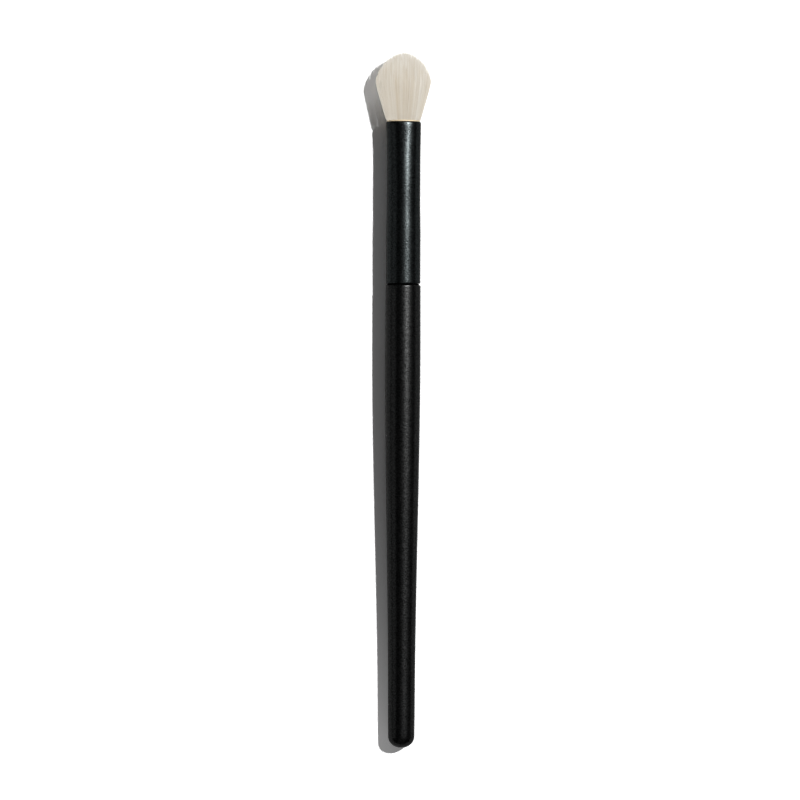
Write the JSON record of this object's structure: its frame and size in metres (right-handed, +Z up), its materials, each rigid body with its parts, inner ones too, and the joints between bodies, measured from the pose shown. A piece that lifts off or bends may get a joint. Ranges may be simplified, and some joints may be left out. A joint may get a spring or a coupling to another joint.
{
  "type": "blending brush",
  "caption": "Slim make-up brush with a tapered black handle, a black ferrule pinched at its mouth, and a domed tuft of pale hair for blending.",
  "frame": {"origin": "centre of the brush's outline on the surface that it lies on", "axes": "+Y along the brush from its tail to its hair, +Z up from the surface, +X across the brush to the right"},
  "size_m": [0.0134, 0.17, 0.01],
  "materials": {
    "lacquered_wood": "black satin lacquer with a fine grain",
    "coated_brass": "black satin coat over brass, bare on the edge of the mouth",
    "natural_hair": "soft off-white hair",
    "resin": "clear amber resin",
    "thread": "plain twisted thread",
    "wood_glue": "cured glue"
  },
  "bodies": {
    "root": {"handle": "lacquered_wood", "ferrule": "coated_brass", "hair_tuft": "natural_hair", "root_plug": "resin", "root_binding": "thread", "tenon_glue_1": "wood_glue", "tenon_glue_2": "wood_glue", "tenon_glue_3": "wood_glue"}
  },
  "joints": []
}
